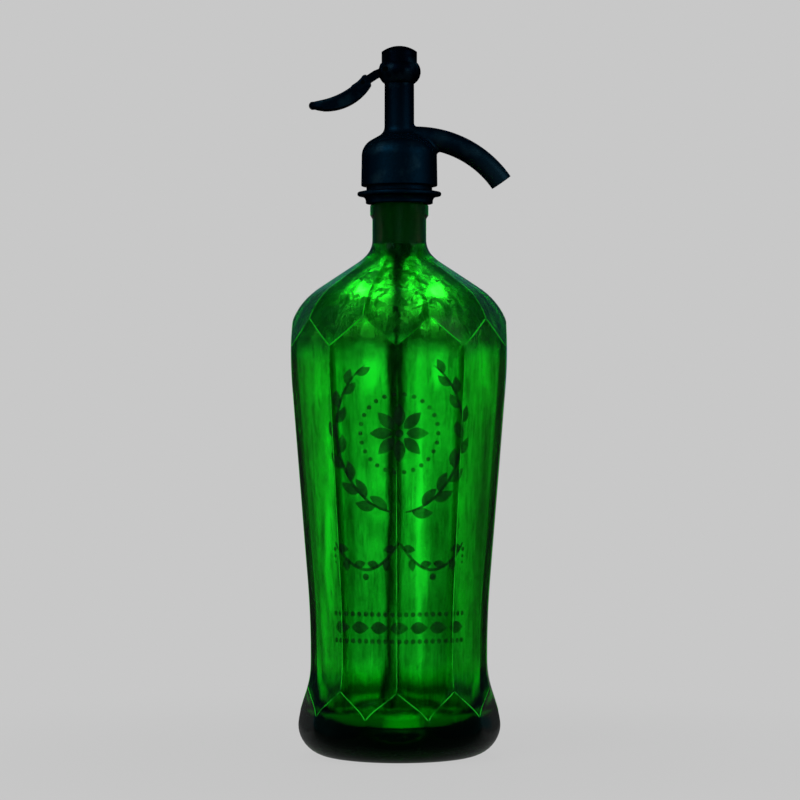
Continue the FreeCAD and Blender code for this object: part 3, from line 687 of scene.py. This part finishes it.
# brass pins that show outside, tarnished as dark as the head
darkPins = cloudedMaterial("tarnishedBrass", "#060c10", "#0e1416", 2.0, 0.5, 1.0)
for node in ("lever_pivot_pin", "thumb_rivet"):
    frame["nodes"][node].data.materials[0] = darkPins
print("finishes:", len(finishes), "on the CAD nodes")

spring = dict(radius=2.85, wire=0.35, turns=4, low=301.8, high=307.6, lift=1.9, steps=161, sides=10)


# round wire wound between the plunger and the cap's roof; its rings stand square to a helix
def springCoil():
    share = np.linspace(0, 1, spring["steps"])[:, None]
    turn = 2 * np.pi * spring["turns"] * share
    out = np.concatenate([np.cos(turn), np.sin(turn), 0 * turn], 1)
    rise = spring["low"] + spring["wire"] + (spring["high"] - spring["low"] - 2 * spring["wire"]) * share
    middle = out * spring["radius"] + rise * [0, 0, 1]
    way = np.gradient(middle, axis=0)
    across = np.cross(way / np.linalg.norm(way, axis=1)[:, None], out)
    angle = np.linspace(0, 2 * np.pi, spring["sides"], endpoint=False)[:, None]
    rings = middle[:, None] + spring["wire"] * (np.cos(angle) * out[:, None] + np.sin(angle) * across[:, None])
    print("spring coil:", spring["turns"], "turns")
    return ringedMesh("springCoil", rings * mm, middle[0] * mm, middle[-1] * mm)


coil = addPiece(springCoil(), finishes["spring_steel"])
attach(coil, "bottle")
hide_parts("plunger_spring")
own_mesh(coil)

# light levels, and places in m; a reach is the distances from the bottle's axis between which a level changes
studio = dict(
    backdrop=0.5776, ambient=0.3, room=0.25, gloss=0.06, mirrored=0.16, mirrorTint=(0.25, 0.85, 1, 1),
    cardEdge=(0.17, 0.24), floorHalf=40.0, floorDrop=0.0003, floorMatt=(0.8, 0.8, 0.8, 1),
    shadow=0.08, shadowReach=(0.08, 0.3), floorGlow=1.15, floorGlowReach=(0.3, 0.7),
    floorMirror=0.12, floorMirrorReach=(0.1, 0.3),
    glow=1.6, glowWidth=0.30, glowHeight=0.24, glowAway=0.5, glowLift=0.14, panelHalf=0.45, panelTop=0.4,
    topGlow=23.0, topWarmth=(3, 1, 1.2), topHeight=0.282, topSize=0.045, topFlatness=0.3,
)
white = (1, 1, 1, 1)


# pale floor: the camera sees it at the backdrop's level with a trace of shadow near the bottle, and glass
# and metal see it at levels of their own
def paleFloor():
    material, tree = newMaterial("paleFloor")
    place = addNode(tree, "TexCoord").outputs["Object"]
    away = addNode(tree, "VectorMath", {0: place}, operation="LENGTH").outputs["Value"]
    near = addNode(tree, "MapRange", {"Value": away, "From Min": studio["shadowReach"][0],
                                      "From Max": studio["shadowReach"][1], "To Min": studio["shadow"], "To Max": 0.0},
                   interpolation_type="SMOOTHSTEP").outputs[0]
    level = (studio["backdrop"],) * 3 + (1,)
    glow = addNode(tree, "Emission", {"Color": level, "Strength": 1.0}).outputs[0]
    matt = addNode(tree, "BsdfDiffuse", {"Color": studio["floorMatt"]}).outputs[0]
    seen = addNode(tree, "MixShader", {0: near, 1: glow, 2: matt}).outputs[0]
    path = addNode(tree, "LightPath").outputs
    behind = addNode(tree, "MapRange", {"Value": away, "From Min": studio["floorGlowReach"][0],
                                        "From Max": studio["floorGlowReach"][1], "To Min": studio["floorGlow"],
                                        "To Max": studio["room"]}, interpolation_type="SMOOTHSTEP").outputs[0]
    through = addNode(tree, "Emission", {"Color": white, "Strength": behind}).outputs[0]
    mirrored = addNode(tree, "MapRange", {"Value": away, "From Min": studio["floorMirrorReach"][0],
                                          "From Max": studio["floorMirrorReach"][1], "To Min": studio["floorMirror"],
                                          "To Max": studio["gloss"]}).outputs[0]
    mirrored = addNode(tree, "Emission", {"Color": white, "Strength": mirrored}).outputs[0]
    either = addNode(tree, "MixShader", {0: path["Is Glossy Ray"], 1: matt, 2: mirrored}).outputs[0]
    either = addNode(tree, "MixShader", {0: path["Is Transmission Ray"], 1: either, 2: through}).outputs[0]
    either = addNode(tree, "MixShader", {0: path["Is Camera Ray"], 1: either, 2: seen}).outputs[0]
    addNode(tree, "OutputMaterial", {"Surface": either})
    mesh = bpy.data.meshes.new("floor")
    half, drop = studio["floorHalf"], -studio["floorDrop"]
    mesh.from_pydata([(-half, -half, drop), (half, -half, drop), (half, half, drop), (-half, half, drop)],
                     [], [(0, 1, 2, 3)])
    addPiece(mesh, material)


# the world: the backdrop to the camera, plain light to matt surfaces, and to glass and metal a dim room
# with a paler card on each of four sides
def studioWorld():
    world = bpy.data.worlds.new("studio")
    bpy.context.scene.world = world
    world.use_nodes = True
    tree = world.node_tree
    tree.nodes.clear()
    path = addNode(tree, "LightPath").outputs
    through = addNode(tree, "Math", {0: path["Is Transmission Ray"], 1: path["Is Glossy Ray"]},
                      operation="MAXIMUM").outputs[0]
    way = addNode(tree, "SeparateXYZ", {0: addNode(tree, "TexCoord").outputs["Generated"]}).outputs
    turn = addNode(tree, "Math", {0: way["X"], 1: way["Y"]}, operation="ARCTAN2").outputs[0]
    side = addNode(tree, "Math", {0: turn, 1: math.pi / 4}, operation="PINGPONG").outputs[0]
    dim = addNode(tree, "Mix", {"Factor": path["Is Transmission Ray"], "A": studio["gloss"],
                                "B": studio["room"]}).outputs[0]
    pale = addNode(tree, "Mix", {"Factor": path["Is Transmission Ray"], "A": studio["mirrored"],
                                 "B": studio["backdrop"]}).outputs[0]
    card = addNode(tree, "MapRange", {"Value": side, "From Min": studio["cardEdge"][0],
                                      "From Max": studio["cardEdge"][1], "To Min": pale, "To Max": dim}).outputs[0]
    strength = addNode(tree, "Mix", {"Factor": through, "A": studio["ambient"], "B": card}).outputs[0]
    strength = addNode(tree, "Mix", {"Factor": path["Is Camera Ray"], "A": strength,
                                     "B": studio["backdrop"]}).outputs[0]
    colour = addNode(tree, "Mix", {"Factor": path["Is Glossy Ray"], "A": white, "B": studio["mirrorTint"]},
                     data_type="RGBA").outputs[2]
    sky = addNode(tree, "Background", {"Color": colour, "Strength": strength}).outputs[0]
    addNode(tree, "OutputWorld", {"Surface": sky})


# soft glowing panel on each side, bright in its middle and again near its top, which shows only through
# the glass
def glowPanels():
    material, tree = newMaterial("glowPanel")
    place = addNode(tree, "TexCoord").outputs["Object"]
    scaled = addNode(tree, "Mapping", {"Vector": place, "Location": (0, 0, -studio["glowLift"] / studio["glowHeight"]),
                                       "Scale": (1 / studio["glowWidth"], 0, 1 / studio["glowHeight"])}).outputs[0]
    away = addNode(tree, "VectorMath", {0: scaled}, operation="LENGTH").outputs["Value"]
    middle = addNode(tree, "MapRange", {"Value": away, "From Min": 0.1, "From Max": 1.0, "To Min": studio["glow"],
                                        "To Max": studio["room"]}, interpolation_type="SMOOTHSTEP").outputs[0]
    scaled = addNode(tree, "Mapping", {"Vector": place, "Location": (0, 0, -studio["topHeight"] / studio["topSize"]),
                                       "Scale": (studio["topFlatness"] / studio["topSize"], 0,
                                                 1 / studio["topSize"])}).outputs[0]
    away = addNode(tree, "VectorMath", {0: scaled}, operation="LENGTH").outputs["Value"]
    top = addNode(tree, "MapRange", {"Value": away, "From Min": 0.2, "From Max": 1.0, "To Min": studio["topGlow"],
                                     "To Max": 0.0}, interpolation_type="SMOOTHSTEP").outputs[0]
    middle = addNode(tree, "Emission", {"Color": white, "Strength": middle}).outputs[0]
    top = addNode(tree, "Emission", {"Color": (*studio["topWarmth"], 1), "Strength": top}).outputs[0]
    light = addNode(tree, "AddShader", {0: middle, 1: top}).outputs[0]
    addNode(tree, "OutputMaterial", {"Surface": light})
    mesh = bpy.data.meshes.new("glowPanel")
    x, y, z = studio["panelHalf"], studio["glowAway"], studio["panelTop"]
    mesh.from_pydata([(-x, y, 0), (x, y, 0), (x, y, z), (-x, y, z)], [], [(0, 1, 2, 3)])
    mesh.materials.append(material)
    for side in range(4):
        panel = bpy.data.objects.new("glowPanel", mesh)
        bpy.context.scene.collection.objects.link(panel)
        panel.rotation_euler = (0, 0, side * math.pi / 2)
        panel.visible_camera = panel.visible_glossy = panel.visible_diffuse = False


lamps = dict(size=0.8, aim=(0, 0, 0.15), keyLamp=((-0.9, -0.9, 1.1), 2.2), fillLamp=((1.1, -0.7, 0.7), 1.0),
             backLamp=((0.0, 1.25, 1.3), 1.4))


# square soft lamp that looks at the bottle; one behind it doesn't show through the glass
def softLamp(name):
    place, radiance = lamps[name]
    lamp = bpy.data.lights.new(name, "AREA")
    lamp.shape = "RECTANGLE"
    lamp.size = lamp.size_y = lamps["size"]
    lamp.energy = radiance * math.pi * lamps["size"] * lamps["size"]
    holder = bpy.data.objects.new(name, lamp)
    bpy.context.scene.collection.objects.link(holder)
    holder.location = place
    holder.rotation_euler = (Vector(lamps["aim"]) - Vector(place)).to_track_quat("-Z", "Y").to_euler()
    holder.visible_camera = False
    holder.visible_transmission = place[1] < 0


paleFloor()
studioWorld()
glowPanels()
for name in ("keyLamp", "fillLamp", "backLamp"):
    softLamp(name)

photoView = dict(lens=128.5, sensor=36.0, place=(0.0003, -1.25, 0.15507))
scene = bpy.context.scene
scene.view_settings.view_transform = "Standard"
view = bpy.data.cameras.new("photoView")
view.lens, view.sensor_width = photoView["lens"], photoView["sensor"]
camera = bpy.data.objects.new("photoView", view)
scene.collection.objects.link(camera)
camera.location = photoView["place"]
camera.rotation_euler = (math.pi / 2, 0, 0)
scene.camera = camera
print("studio and camera set")
